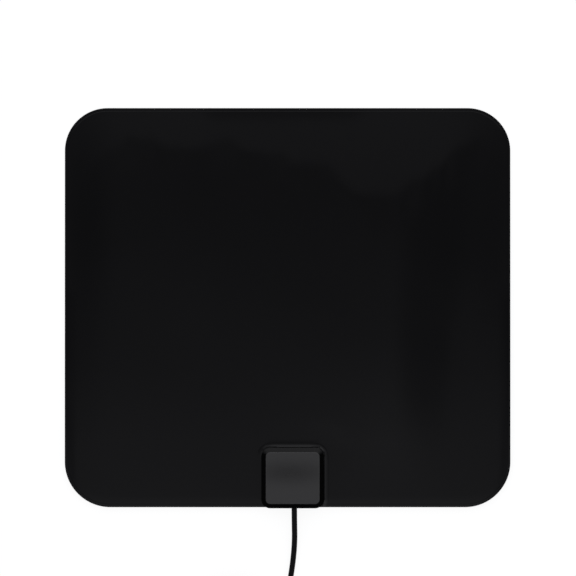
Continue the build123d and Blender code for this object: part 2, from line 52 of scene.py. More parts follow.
def linear(code):
    """Linear colour of an sRGB hex code: the sRGB curve undone for each channel."""
    channels = np.array([int(code[i:i + 2], 16) for i in (1, 3, 5)]) / 255
    values = np.where(channels <= 0.04045, channels / 12.92, ((channels + 0.055) / 1.055) ** 2.4)
    return (*values.tolist(), 1.0)


def add_node(tree, kind, sockets=None, **settings):
    """Adds a shader node with its settings, and sets or links its sockets."""
    node = tree.nodes.new(kind)
    for name, value in settings.items():
        setattr(node, name, value)
    for name, value in (sockets or {}).items():
        socket = next(s for s in node.inputs if s.identifier == name)
        if isinstance(value, bpy.types.NodeSocket):
            tree.links.new(value, socket)
        else:
            socket.default_value = value
    return node


def start_material(name):
    """An empty node material, and the Object coordinates in its tree."""
    material = bpy.data.materials.new(name)
    material.use_nodes = True
    tree = material.node_tree
    tree.nodes.clear()
    place = add_node(tree, "ShaderNodeTexCoord").outputs["Object"]
    return material, tree, place


def end_material(tree, surface):
    """Links a finished shader to the material's output."""
    add_node(tree, "ShaderNodeOutputMaterial", {"Surface": surface.outputs[0]})


def dress(node, material):
    """Gives a CAD node one material all over."""
    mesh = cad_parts[node].data
    mesh.materials.clear()
    mesh.materials.append(material)


def grained_plastic(
    name, dark, light, cloud_size, cloud_detail, grain_size, grain_detail, grain_depth,
    grain_strength, rough, rough_by_grain=False, ior=1.53, specular=0.5,
):
    """Plastic: a coarse noise clouds its colour between a dark and a lighter one, and a fine noise
    grains its surface. Its roughness runs over a range with the cloud, or else with the grain."""
    material, tree, place = start_material(name)
    cloud = add_node(
        tree, "ShaderNodeTexNoise",
        {"Vector": place, "Scale": 1 / cloud_size, "Detail": cloud_detail},
    )
    grain = add_node(
        tree, "ShaderNodeTexNoise",
        {"Vector": place, "Scale": 1 / grain_size, "Detail": grain_detail},
    )
    colour = add_node(
        tree, "ShaderNodeMix",
        {"Factor_Float": cloud.outputs[0], "A_Color": linear(dark), "B_Color": linear(light)},
        data_type="RGBA",
    )
    followed = grain if rough_by_grain else cloud
    shine = add_node(
        tree, "ShaderNodeMapRange",
        {"Value": followed.outputs[0], "To Min": rough[0], "To Max": rough[1]},
    )
    bump = add_node(
        tree, "ShaderNodeBump",
        {"Height": grain.outputs[0], "Strength": grain_strength, "Distance": grain_depth},
    )
    surface = add_node(
        tree, "ShaderNodeBsdfPrincipled",
        {
            "Base Color": colour.outputs[2], "Roughness": shine.outputs[0],
            "Normal": bump.outputs[0], "IOR": ior, "Specular IOR Level": specular,
        },
    )
    end_material(tree, surface)
    return material


# Calendered PVC: a leathery grain from the rollers breaks up its dull shine. It is drawn coarser
# than the real one, which is too fine to show.
dress("rear_film", grained_plastic(
    "satin_calendered_pvc", "#0b0b0c", "#111113", cloud_size=30.0 * mm, cloud_detail=3.0,
    grain_size=1.2 * mm, grain_detail=2.0, grain_depth=0.06 * mm, grain_strength=0.5,
    rough=(0.38, 0.52), rough_by_grain=True,
))

# Foil elements
# The two receiving loops, die-cut from rolled aluminium foil 0.1 mm thick and bonded between the
# films. Rolling leaves fine streaks along the strip.


def streaked_metal(name, colour, streak_size, squeeze, rough):
    """Bright metal: its roughness runs over a range in fine streaks, a noise that is squeezed along
    their length."""
    material, tree, place = start_material(name)
    drawn = add_node(tree, "ShaderNodeMapping", {"Vector": place, "Scale": squeeze})
    streaks = add_node(
        tree, "ShaderNodeTexNoise",
        {"Vector": drawn.outputs[0], "Scale": 1 / streak_size, "Detail": 2.0},
    )
    shine = add_node(
        tree, "ShaderNodeMapRange",
        {"Value": streaks.outputs[0], "To Min": rough[0], "To Max": rough[1]},
    )
    surface = add_node(
        tree, "ShaderNodeBsdfPrincipled",
        {"Base Color": linear(colour), "Metallic": 1.0, "Roughness": shine.outputs[0]},
    )
    end_material(tree, surface)
    return material


# Rolled aluminium: bright, with fine dull streaks along the direction of rolling.
foil = streaked_metal(
    "rolled_aluminium_foil", "#d6d7d9", streak_size=0.4 * mm, squeeze=(1.0, 0.03, 1.0),
    rough=(0.25, 0.5),
)
dress("element_left", foil)
dress("element_right", foil)

# Front film
# Semi-gloss black PVC sheet, 0.35 mm thick, hot-pressed over the foil. Its narrow rim is sealed a
# step lower, it keeps slight waves from the press, and a bead stands up along the box.
film_low, film_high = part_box("front_film")
box_low, box_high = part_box("front_cover")
film_thickness = 0.35 * mm
film_lift = 2.2 * mm
upper_corner_radius = 23.0 * mm
lower_corner_radius = 24.5 * mm
seal_rim_width = 1.6 * mm
seal_rim_depth = 0.1 * mm
rim_step_slope = radians(36.0)
rim_step_width = seal_rim_depth / tan(rim_step_slope)
rim_zone = 2.6 * mm
bend_length = 40.0 * mm
bend_margin = 3.0 * mm
notch_width = 17.0 * mm
notch_depth = 6.8 * mm
box_corner_radius = 5.0 * mm
bead_height = 0.2 * mm
bead_width = 2.3 * mm
bead_power = 1.3
bead_least = 0.05
bead_left_loss = 0.15
bead_right_share = 0.7
edge_roll = 0.04 * mm
edge_roll_width = 6.0 * mm
edge_roll_rows = (-40.0 * mm, -90.0 * mm)
side_roll = 0.055 * mm
side_roll_width = 7.0 * mm
side_roll_rows = (15.0 * mm, 3.0 * mm)
wave_slope = 0.016
wave_fade_beside = 40.0 * mm
wave_fade_above = 90.0 * mm
wave_fade_box = 18.0 * mm
half_width = film_high.x
half_height = film_high.y
box_x = (box_low.x + box_high.x) / 2


def ease(low, high, value):
    """Smooth step, 0 at low and 1 at high: 3 t squared less 2 t cubed, t held from 0 to 1."""
    t = np.clip((value - low) / (high - low), 0, 1)
    return t * t * (3 - 2 * t)


def inside_rounded(x, y, half_x, half_y, radius):
    """Distance inside a rounded rectangle about the origin; negative outside."""
    across = np.abs(x) - (half_x - radius)
    along = np.abs(y) - (half_y - radius)
    corner = np.hypot(np.maximum(across, 0), np.maximum(along, 0))
    return radius - corner - np.minimum(np.maximum(across, along), 0)


def film_lines(half, radius, extra):
    """Places of grid lines across the film: close together towards its edges, where they follow the
    corner's angle in equal steps, even in the middle, and with extra lines where wanted."""
    corner_count = 31
    spacing = 2.4 * mm
    least_spacing = 0.01 * mm
    corner = radius * (1 - np.cos(np.linspace(0, pi / 2, corner_count)))
    middle = np.linspace(-half + radius, half - radius, int(2 * (half - radius) / spacing))
    lines = np.concatenate([-half + corner[:-1], middle, (half - corner[:-1])[::-1], extra])
    lines = np.sort(lines)
    return lines[np.concatenate([[True], np.diff(lines) > least_spacing])]


def film_plan():
    """Grid of places over the film inside its rim's zone. Its columns end on a rounded outline, so
    near the two ends of a column the rows are drawn in to meet it; in the box's columns they meet
    the notch for the lead."""
    close_reach, close_count = 2.25, 19
    notch_gap = 0.03 * mm
    drawn_reach = 45.0 * mm
    notch_drawn_reach = 15.0 * mm
    wide, tall = half_width - rim_zone, half_height - rim_zone
    upper, lower = upper_corner_radius - rim_zone, lower_corner_radius - rim_zone
    beside_box = np.linspace(-close_reach, close_reach, close_count) * mm
    notch_sides = np.array([-1, 1, -1, 1]) * notch_width / 2 + np.array([-1, 1, 1, -1]) * notch_gap
    across = np.concatenate([box_low.x + beside_box, box_high.x + beside_box, box_x + notch_sides])
    x = film_lines(wide, lower, across)
    y = film_lines(tall, lower, box_high.y + beside_box)
    past_upper = np.maximum(np.abs(x) - (wide - upper), 0)
    past_lower = np.maximum(np.abs(x) - (wide - lower), 0)
    top = tall - upper + np.sqrt(np.maximum(upper**2 - past_upper**2, 0))
    low = -tall + lower - np.sqrt(np.maximum(lower**2 - past_lower**2, 0))
    in_notch = np.abs(x - box_x) < notch_width / 2
    low = np.where(in_notch, notch_depth - half_height, low)
    upper_zone = np.full_like(x, tall - drawn_reach)
    lower_zone = np.where(in_notch, -tall + notch_drawn_reach, -tall + drawn_reach)
    x, y = np.meshgrid(x, y, indexing="ij")
    top, low, upper_zone, lower_zone = (v[:, None] for v in (top, low, upper_zone, lower_zone))
    drawn_up = upper_zone + (y - upper_zone) / (tall - upper_zone) * (top - upper_zone)
    drawn_down = lower_zone + (y - lower_zone) / (-tall - lower_zone) * (low - lower_zone)
    return x, np.where(y > upper_zone, drawn_up, np.where(y < lower_zone, drawn_down, y))


def film_mesh():
    """Places and faces of the film's top: the grid, and round it the rings of the sealed rim, each
    at its own distance from the film's edge along the outline's normal. The notch has none."""
    x, y = film_plan()
    index = np.arange(x.size).reshape(x.shape)
    corners = [index[:-1, :-1], index[1:, :-1], index[1:, 1:], index[:-1, 1:]]
    grid = np.stack(corners, axis=-1).reshape(-1, 4)
    edge = np.concatenate([index[:, 0], index[-1, 1:], index[-2::-1, -1], index[0, -2:0:-1]])
    edge_x, edge_y = x.ravel()[edge], y.ravel()[edge]
    radius = np.where(edge_y > 0, upper_corner_radius, lower_corner_radius)
    out_x = np.sign(edge_x) * np.maximum(np.abs(edge_x) - (half_width - radius), 0)
    out_y = np.sign(edge_y) * np.maximum(np.abs(edge_y) - (half_height - radius), 0)
    out_size = np.hypot(out_x, out_y)
    on_notch = (np.abs(edge_x - box_x) < notch_width / 2) & (edge_y < 0)
    ringed = np.flatnonzero(~on_notch & ~np.roll(on_notch, -1))
    places, faces, inner = [np.stack([x.ravel(), y.ravel()], axis=-1)], [grid], edge
    for inset in (seal_rim_width + rim_step_width, seal_rim_width, seal_rim_width / 2, 0.0):
        ring_x = edge_x + out_x / out_size * (rim_zone - inset)
        ring_y = edge_y + out_y / out_size * (rim_zone - inset)
        outer = np.arange(len(edge)) + sum(map(len, places))
        places.append(np.stack([ring_x, ring_y], axis=-1))
        quads = np.stack([inner, outer, np.roll(outer, -1), np.roll(inner, -1)], axis=-1)
        faces.append(quads[ringed])
        inner = outer
    used, faces = np.unique(np.concatenate(faces), return_inverse=True)
    return np.concatenate(places)[used], faces.reshape(-1, 4)


def film_rise(y):
    """Height of the leaning panel above its upper edge: a straight rise towards the box, then a
    parabola that brings it level, then flat."""
    bend_end = box_high.y + bend_margin
    slope = film_lift / (half_height - bend_end - bend_length / 2)
    before_level = np.clip(y - bend_end, 0, bend_length)
    bent = film_lift - slope * before_level**2 / (2 * bend_length)
    return np.where(y < bend_end + bend_length, bent, slope * (half_height - y))


def press_waves(x, y):
    """Slight waves of the pressed sheet, worked out in mm. From its upper edge, or from a flat
    patch in the middle of that edge, the sheet slopes up to a crest that wanders and is ragged, and
    beyond that it falls back into faint folds, of which the strongest is a ridge down its right
    side. The crest's line is a cosine and a sum of bell curves, each of its own place, reach to the
    left and right, and depth. Each change of slope at the crest is a softplus, log(1 + exp t)."""
    crest_depth, crest_swing = 22, 7
    crest_bells = [(-31, 20, 20, -9), (52, 24, 27, 26), (96, 14, 14, -5)]
    patch_depth = 6
    ragged_reach, fall_reach = 25, 180
    softness = 1.4
    fold_height, ridge_height = 0.1, 0.3
    x, y, down = x / mm, y / mm, (half_height - y) / mm
    crest = crest_depth + crest_swing * np.cos((x + 118) / 14) * ease(-30, -80, x)
    for at, left, right, depth in crest_bells:
        crest = crest + depth * np.exp(-(((x - at) / np.where(x < at, left, right)) ** 2))
    wander = 2.2 * np.sin(x / 5.5 + 1.5 * np.sin(x / 19))
    wander += 1.1 * np.sin(x / 2.6 + 2 * np.sin(x / 13))
    ragged = crest + wander * (1 - ease(0, ragged_reach, down - crest))
    patch = patch_depth * (ease(-50, -38, x) - ease(34, 46, x))
    rising = np.logaddexp(0, (down - patch) / softness) - np.logaddexp(0, -patch / softness)
    rising *= softness
    held = ragged - softness * np.logaddexp(0, (ragged - rising) / softness)
    fall = 1 - ease(0, fall_reach, down - crest)
    folds = fold_height * np.sin(x / 26 + 1.2 + 0.8 * np.sin(y / 37)) * ease(40, -50, y)
    ridge = ridge_height * (ease(5, 57, x) - ease(57, 88, x)) * (1 - fall)
    return (wave_slope * np.maximum(held, 0) * fall + folds + ridge) * mm


def film_surface(x, y):
    """Upper and lower points of the front film: the lean and bend, less the sealed rim's step and
    the slight roll of the lower edge and of the sides below the middle, plus the waves, which fade
    out towards the edge and the box, and the bead along the box, which is strongest above it."""
    radius = np.where(y > 0, upper_corner_radius, lower_corner_radius)
    inset = inside_rounded(x, y, half_width, half_height, radius)
    box_half = (box_high - box_low) / 2
    box_centre = (box_high + box_low) / 2
    box_sizes = (box_half.x, box_half.y, box_corner_radius)
    from_box = -inside_rounded(x - box_centre.x, y - box_centre.y, *box_sizes)
    under = film_low.z + film_rise(y)
    rim = np.interp(inset, [seal_rim_width, seal_rim_width + rim_step_width], [seal_rim_depth, 0])
    beside = half_width - np.abs(x)
    rolled = edge_roll * np.clip(1 - inset / edge_roll_width, 0, 1) ** 2 * ease(*edge_roll_rows, y)
    at_side = np.clip(1 - beside / side_roll_width, 0, 1)
    rolled += side_roll * at_side**2 * ease(*side_roll_rows, y)
    above = y + half_height
    waves = press_waves(x, y) * ease(0, wave_fade_beside, beside)
    waves *= ease(0, wave_fade_above, above)
    waves *= ease(0, wave_fade_box, from_box)
    over_box = ease(0.7, 1.0, (y - box_centre.y) / box_half.y)
    right_of_box = ease(0.7, 1.0, (x - box_centre.x) / box_half.x)
    left_of_box = ease(-0.6, -1.0, (x - box_centre.x) / box_half.x)
    bead_share = bead_least + over_box * (1 - bead_left_loss * left_of_box)
    bead_share += bead_right_share * right_of_box
    bead = bead_height * np.minimum(bead_share, 1) * (from_box > 0)
    bead *= np.clip(1 - from_box / bead_width, 0, 1) ** bead_power
    over = under + film_thickness - rim - rolled + waves + bead
    return np.stack([x, y, over], axis=-1), np.stack([x, y, under], axis=-1)


def make_piece(name, points, faces, material, sharp=35):
    """A smooth-shaded object from arrays of points and faces, with sharp edges where faces meet at
    a steep angle, riding on the one body."""
    mesh = bpy.data.meshes.new(name)
    mesh.from_pydata(points.reshape(-1, 3).tolist(), [], faces)
    mesh.polygons.foreach_set("use_smooth", np.ones(len(mesh.polygons), dtype=bool))
    mesh.set_sharp_from_angle(angle=radians(sharp))
    mesh.materials.append(material)
    piece = bpy.data.objects.new(name, mesh)
    bpy.context.scene.collection.objects.link(piece)
    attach(piece, "root")
    return piece


def closed_sheet(over, under, faces):
    """Points and faces of a closed sheet: the faces above, the same ones turned over below, and a
    wall along each edge that only one face has."""
    count = len(over)
    start = faces.ravel()
    end = np.roll(faces, -1, axis=1).ravel()
    bare = np.isin(end * count + start, start * count + end, invert=True)
    start, end = start[bare], end[bare]
    walls = np.stack([start + count, end + count, end, start], axis=-1)
    every_face = np.concatenate([faces, faces[:, ::-1] + count, walls])
    return np.concatenate([over, under]), every_face.tolist()


film_places, film_faces = film_mesh()
film_over, film_under = film_surface(*film_places.T)
film_points, film_faces = closed_sheet(film_over, film_under, film_faces)

# Pressed PVC sheet: a smooth dark shine, with a barely visible orange-peel from the press plate.
front_pvc = grained_plastic(
    "semi_gloss_pressed_pvc", "#040405", "#050506", cloud_size=45.0 * mm, cloud_detail=4.0,
    grain_size=3.0 * mm, grain_detail=2.0, grain_depth=0.01 * mm, grain_strength=0.1,
    rough=(0.05, 0.075), ior=1.5,
)
front_sheet = make_piece("front_film_sheet", film_points, film_faces, front_pvc, sharp=30)
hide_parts("front_film")

# Rear cover
# Black ABS moulding that lies on the table, with a lip that fills the film's notch and seats for
# the screws. The tool's even eroded finish makes it satin all over.

# Moulded ABS: satin black, with the fine even grain of the tool and a slight mottle from the flow.
dress("rear_cover", grained_plastic(
    "moulded_abs", "#070707", "#0d0d0d", cloud_size=12.0 * mm, cloud_detail=2.0,
    grain_size=0.5 * mm, grain_detail=3.0, grain_depth=0.03 * mm, grain_strength=0.25,
    rough=(0.36, 0.52), rough_by_grain=True,
))

# Circuit board
# Glass-fibre board 1 mm thick under a green solder mask, cut out with a router, so its edges show
# bare fibre. Posts of the front cover hold it down.


def solder_masked_board():
    """Solder mask over glass cloth: green, with the weave showing faintly; the routed edges are
    straw-coloured. A wave texture of scale 1 makes a band in each 2 pi / 20 of a unit."""
    weave_pitch = 0.5 * mm
    weave_scale = 1 / (20 * weave_pitch) * 2 * pi
    material, tree, place = start_material("solder_masked_glass_fibre")
    warp = add_node(
        tree, "ShaderNodeTexWave", {"Vector": place, "Scale": weave_scale}, bands_direction="X"
    )
    weft = add_node(
        tree, "ShaderNodeTexWave", {"Vector": place, "Scale": weave_scale}, bands_direction="Y"
    )
    weave = add_node(
        tree, "ShaderNodeMath",
        {"Value": warp.outputs[1], "Value_001": weft.outputs[1]}, operation="MULTIPLY",
    )
    mask = add_node(
        tree, "ShaderNodeMix",
        {
            "Factor_Float": weave.outputs[0], "A_Color": linear("#0f4a2a"),
            "B_Color": linear("#176138"),
        },
        data_type="RGBA",
    )
    normal = add_node(tree, "ShaderNodeNewGeometry").outputs["Normal"]
    upright = add_node(tree, "ShaderNodeSeparateXYZ", {"Vector": normal}).outputs["Z"]
    flat = add_node(tree, "ShaderNodeMath", {"Value": upright}, operation="ABSOLUTE")
    colour = add_node(
        tree, "ShaderNodeMix",
        {"Factor_Float": flat.outputs[0], "A_Color": linear("#b9a877"), "B_Color": mask.outputs[2]},
        data_type="RGBA",
    )
    shine = add_node(
        tree, "ShaderNodeMapRange", {"Value": weave.outputs[0], "To Min": 0.3, "To Max": 0.42}
    )
    surface = add_node(
        tree, "ShaderNodeBsdfPrincipled",
        {"Base Color": colour.outputs[2], "Roughness": shine.outputs[0], "IOR": 1.55},
    )
    end_material(tree, surface)
    return material


dress("circuit_board", solder_masked_board())

# Contact eyelets and braid clamp
# Two tubular eyelets, rolled from brass sheet, join the foil's tabs to the board. A strap of tinned
# sheet steel, pressed to shape and soldered to the board, holds the lead's braid.


def clouded_metal(name, thin, thick, cloud_size=1.2 * mm, rough=(0.28, 0.45)):
    """Metal, softly dull, with cloudy patches where its skin of tin, tarnish or oxide is thin."""
    material, tree, place = start_material(name)
    cloud = add_node(
        tree, "ShaderNodeTexNoise", {"Vector": place, "Scale": 1 / cloud_size, "Detail": 3.0}
    )
    colour = add_node(
        tree, "ShaderNodeMix",
        {"Factor_Float": cloud.outputs[0], "A_Color": linear(thin), "B_Color": linear(thick)},
        data_type="RGBA",
    )
    shine = add_node(
        tree, "ShaderNodeMapRange",
        {"Value": cloud.outputs[0], "To Min": rough[0], "To Max": rough[1]},
    )
    surface = add_node(
        tree, "ShaderNodeBsdfPrincipled",
        {"Base Color": colour.outputs[2], "Metallic": 1.0, "Roughness": shine.outputs[0]},
    )
    end_material(tree, surface)
    return material


dress("contact_eyelets", clouded_metal("rolled_brass", "#d2b678", "#e1cb95"))
dress("braid_clamp", clouded_metal("tinned_sheet_steel", "#b4b2ac", "#cfcfcd"))

# Balun core
# Sintered nickel-zinc ferrite with two bores, cemented to the board. It matches the loops to the
# lead.


def sintered_ferrite():
    """Sintered ferrite: charcoal grey and dry, with fine pits and paler specks from the press."""
    speck_size = 0.25 * mm
    pit_depth = 0.03 * mm
    material, tree, place = start_material("sintered_ferrite")
    speck = add_node(tree, "ShaderNodeTexVoronoi", {"Vector": place, "Scale": 1 / speck_size})
    colour = add_node(
        tree, "ShaderNodeMix",
        {
            "Factor_Float": speck.outputs[0], "A_Color": linear("#2a2b2c"),
            "B_Color": linear("#3a3b3d"),
        },
        data_type="RGBA",
    )
    bump = add_node(
        tree, "ShaderNodeBump", {"Height": speck.outputs[0], "Strength": 0.4, "Distance": pit_depth}
    )
    surface = add_node(
        tree, "ShaderNodeBsdfPrincipled",
        {"Base Color": colour.outputs[2], "Roughness": 0.7, "Normal": bump.outputs[0]},
    )
    end_material(tree, surface)
    return material


dress("balun_core", sintered_ferrite())

# Windings
# Hairpins of enamelled copper wire, 0.4 mm thick, through the core's bores. The two are told apart
# by the colour of their enamel.


def enamelled_copper(name, thin, thick):
    """Enamelled copper: warm metal under a clear coloured lacquer that is a little uneven."""
    run_size = 1.5 * mm
    material, tree, place = start_material(name)
    run = add_node(
        tree, "ShaderNodeTexNoise", {"Vector": place, "Scale": 1 / run_size, "Detail": 2.0}
    )
    colour = add_node(
        tree, "ShaderNodeMix",
        {"Factor_Float": run.outputs[0], "A_Color": linear(thin), "B_Color": linear(thick)},
        data_type="RGBA",
    )
    surface = add_node(
        tree, "ShaderNodeBsdfPrincipled",
        {
            "Base Color": colour.outputs[2], "Metallic": 1.0, "Roughness": 0.28,
            "Coat Weight": 0.8, "Coat Roughness": 0.08,
        },
    )
    end_material(tree, surface)
    return material


dress("primary_winding", enamelled_copper("clear_enamelled_copper", "#b06a3c", "#c27a48"))
dress("secondary_winding", enamelled_copper("red_enamelled_copper", "#8a2f1c", "#a03a22"))

# Stripped end of the lead
# The jacket is cut back in the box. The tinned braid lies under the clamp, then the white foamed
# dielectric shows, and the bare conductor bends down to its pad.
braid_low, braid_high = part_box("coax_braid")


def tinned_copper_braid():
    """Braid: two sets of fine tinned wires wind round the lead in opposite directions and cross."""
    carriers = 8
    lay_length = 2.4 * mm
    weave_depth = 0.08 * mm
    middle = (braid_low + braid_high) / 2
    material, tree, place = start_material("tinned_copper_braid")
    from_axis = add_node(
        tree, "ShaderNodeVectorMath",
        {"Vector": place, "Vector_001": tuple(middle)}, operation="SUBTRACT",
    )
    parts = add_node(tree, "ShaderNodeSeparateXYZ", {"Vector": from_axis.outputs[0]})
    round_axis = add_node(
        tree, "ShaderNodeMath",
        {"Value": parts.outputs["X"], "Value_001": parts.outputs["Z"]}, operation="ARCTAN2",
    )
    turned = add_node(
        tree, "ShaderNodeMath",
        {"Value": round_axis.outputs[0], "Value_001": carriers}, operation="MULTIPLY",
    )
    waves = []
    for way in (1, -1):
        phase = add_node(
            tree, "ShaderNodeMath",
            {
                "Value": parts.outputs["Y"], "Value_001": way * 2 * pi / lay_length,
                "Value_002": turned.outputs[0],
            },
            operation="MULTIPLY_ADD",
        )
        wave = add_node(tree, "ShaderNodeMath", {"Value": phase.outputs[0]}, operation="SINE")
        waves.append(wave.outputs[0])
    weave = add_node(
        tree, "ShaderNodeMath", {"Value": waves[0], "Value_001": waves[1]}, operation="MULTIPLY"
    )
    shine = add_node(
        tree, "ShaderNodeMapRange",
        {"Value": weave.outputs[0], "From Min": -1.0, "To Min": 0.5, "To Max": 0.25},
    )
    bump = add_node(
        tree, "ShaderNodeBump",
        {"Height": weave.outputs[0], "Strength": 0.8, "Distance": weave_depth},
    )
    surface = add_node(
        tree, "ShaderNodeBsdfPrincipled",
        {
            "Base Color": linear("#c9c8c4"), "Metallic": 1.0, "Roughness": shine.outputs[0],
            "Normal": bump.outputs[0],
        },
    )
    end_material(tree, surface)
    return material


def white_polyethylene():
    """Polyethylene: milky white and waxy, with a faint cloud from its fine foam."""
    foam_size = 0.3 * mm
    material, tree, place = start_material("white_polyethylene")
    foam = add_node(
        tree, "ShaderNodeTexNoise", {"Vector": place, "Scale": 1 / foam_size, "Detail": 2.0}
    )
    colour = add_node(
        tree, "ShaderNodeMix",
        {
            "Factor_Float": foam.outputs[0], "A_Color": linear("#dcdad2"),
            "B_Color": linear("#eceae4"),
        },
        data_type="RGBA",
    )
    shine = add_node(
        tree, "ShaderNodeMapRange", {"Value": foam.outputs[0], "To Min": 0.4, "To Max": 0.55}
    )
    surface = add_node(
        tree, "ShaderNodeBsdfPrincipled",
        {"Base Color": colour.outputs[2], "Roughness": shine.outputs[0], "IOR": 1.51},
    )
    end_material(tree, surface)
    return material


polyethylene = white_polyethylene()
dress("coax_braid", tinned_copper_braid())
dress("coax_dielectric", polyethylene)

# Drawn copper wire: warm and bright, with fine dull marks from the die.
dress("coax_conductor", streaked_metal(
    "drawn_copper", "#c98a63", streak_size=0.2 * mm, squeeze=(1.0, 1.0, 1.0), rough=(0.2, 0.4)
))

# Front cover
# Black ABS moulding, clamped on the film by four screws from below. Its face is spark-eroded, which
# scatters light. The bevel and walls round it are polished, so they mirror the dark round it.


def spark_textured_abs():
    """Moulded ABS: one black all over, but matt on the grained face, where handling has worn a wide
    band across the middle a little smoother, and mirror-smooth on bevel and walls."""
    spark_size = 0.55 * mm
    spark_depth = 0.03 * mm
    spark_share = 0.12
    flow_size = 14.0 * mm
    face_drop = (0.25 * mm, 0.02 * mm)
    worn_place = (box_x - 2.0 * mm, (box_low.y + box_high.y) / 2 + 3.0 * mm, box_high.z)
    worn_reach = (48.0 * mm, 15.0 * mm)
    material, tree, place = start_material("spark_textured_abs")
    spark = add_node(
        tree, "ShaderNodeTexNoise", {"Vector": place, "Scale": 1 / spark_size, "Detail": 4.0}
    )
    flow = add_node(
        tree, "ShaderNodeTexNoise", {"Vector": place, "Scale": 1 / flow_size, "Detail": 2.0}
    )
    height = add_node(tree, "ShaderNodeSeparateXYZ", {"Vector": place}).outputs["Z"]
    on_face = add_node(
        tree, "ShaderNodeMapRange",
        {
            "Value": height, "From Min": box_high.z - face_drop[0],
            "From Max": box_high.z - face_drop[1],
        },
    )
    colour = add_node(
        tree, "ShaderNodeMix",
        {
            "Factor_Float": flow.outputs[0], "A_Color": linear("#020202"),
            "B_Color": linear("#040404"),
        },
        data_type="RGBA",
    )
    off_worn = add_node(
        tree, "ShaderNodeVectorMath",
        {"Vector": place, "Vector_001": worn_place}, operation="SUBTRACT",
    )
    worn_span = add_node(
        tree, "ShaderNodeVectorMath",
        {"Vector": off_worn.outputs[0], "Vector_001": (1 / worn_reach[0], 1 / worn_reach[1], 0.0)},
        operation="MULTIPLY",
    )
    from_worn = add_node(
        tree, "ShaderNodeVectorMath", {"Vector": worn_span.outputs[0]}, operation="LENGTH"
    )
    worn = add_node(
        tree, "ShaderNodeMapRange",
        {"Value": from_worn.outputs["Value"], "To Min": 0.22, "To Max": 0.46},
        interpolation_type="SMOOTHSTEP",
    )
    grained = add_node(
        tree, "ShaderNodeMath",
        {"Value": spark.outputs[0], "Value_001": spark_share, "Value_002": worn.outputs[0]},
        operation="MULTIPLY_ADD",
    )
    shine = add_node(
        tree, "ShaderNodeMix",
        {"Factor_Float": on_face.outputs[0], "A_Float": 0.06, "B_Float": grained.outputs[0]},
    )
    depth = add_node(
        tree, "ShaderNodeMath",
        {"Value": on_face.outputs[0], "Value_001": 0.5}, operation="MULTIPLY",
    )
    bump = add_node(
        tree, "ShaderNodeBump",
        {"Height": spark.outputs[0], "Strength": depth.outputs[0], "Distance": spark_depth},
    )
    surface = add_node(
        tree, "ShaderNodeBsdfPrincipled",
        {
            "Base Color": colour.outputs[2], "Roughness": shine.outputs[0],
            "Normal": bump.outputs[0], "IOR": 1.53,
        },
    )
    end_material(tree, surface)
    return material


dress("front_cover", spark_textured_abs())

# Cover screws
# Four small thread-forming screws, cold-headed and blackened steel, driven up from the rear cover
# into the front cover's bosses.

# Blackened steel: dark grey metal with an oily sheen, greyer in patches where the oxide is thin.
dress("cover_screws", clouded_metal(
    "blackened_steel", "#4e4f53", "#6a6b6f", cloud_size=0.8 * mm, rough=(0.28, 0.44)
))

# Coaxial lead
# One 3 mm coaxial lead in a black PVC jacket, about 1.5 m long. It leaves the box's lower wall,
# comes down to the table, and most of its length is wound into a tied coil that ends in the plug.
lead_diameter = 3.0 * mm
run_route = np.array([
    (3.6, -101.0, 5.0),
    (3.6, -113.5, 5.0),
    (3.9, -126.0, 2.3),
    (2.7, -139.0, 1.5),
    (0.3, -153.0, 1.5),
    (-3.9, -166.5, 1.5),
]) * mm
tail_route = np.array([
    (-43.3836, -191.0347, 9.6),
    (-57.3836, -189.0347, 5.75),
    (-70.3836, -189.0347, 5.75),
]) * mm
coil_centre = np.array([-29.3836, -170.9347]) * mm
coil_turns = [
    (21.65, 1.5), (18.55, 1.5), (15.45, 1.5), (12.35, 1.5),
    (13.9, 4.2), (17.0, 4.2), (20.1, 4.2),
    (21.65, 6.9), (18.55, 6.9), (15.45, 6.9), (12.35, 6.9),
    (13.9, 9.6), (17.0, 9.6), (20.1, 9.6),
]
coil_entry_angle = radians(-23.3)
coil_exit_angle = radians(-90.0)
bundle_radius = 17.0 * mm
bundle_height = 5.55 * mm
tie_angle = radians(186.74)
tied_reach = 0.45
tied_squeeze = (0.065, 0.145)
crossing_from = 0.8
points_per_turn = 16


def coil_points():
    """Control points of the coil: clockwise turns, each at its own radius and height, that cross to
    the next turn's in the last fifth of the way round. The control circle is drawn out by the
    cosine of half a step, so that the spline runs at the turn's own radius, and a bell curve draws
    the turns together under the tie."""
    step = 2 * pi / points_per_turn
    whole_turns = len(coil_turns) - 1
    last = whole_turns + (coil_entry_angle - coil_exit_angle) / (2 * pi)
    turn = np.arange(0, last, 1 / points_per_turn)
    radius, height = (np.array(values) * mm for values in zip(*coil_turns))
    share = turn % 1
    cross = turn // 1 + ease(crossing_from, 1.0, share)
    at = np.arange(len(coil_turns))
    r = np.interp(cross, at, radius)
    z = np.interp(cross, at, height)
    angle = coil_entry_angle - 2 * pi * turn
    tied = np.exp(-((np.angle(np.exp(1j * (angle - tie_angle))) / tied_reach) ** 2))
    r = bundle_radius + (r - bundle_radius) * (1 - tied_squeeze[0] * tied)
    z = bundle_height + (z - bundle_height) * (1 - tied_squeeze[1] * tied)
    r = r / cos(step / 2)
    x = coil_centre[0] + r * np.cos(angle)
    y = coil_centre[1] + r * np.sin(angle)
    return np.stack([x, y, z], axis=-1)


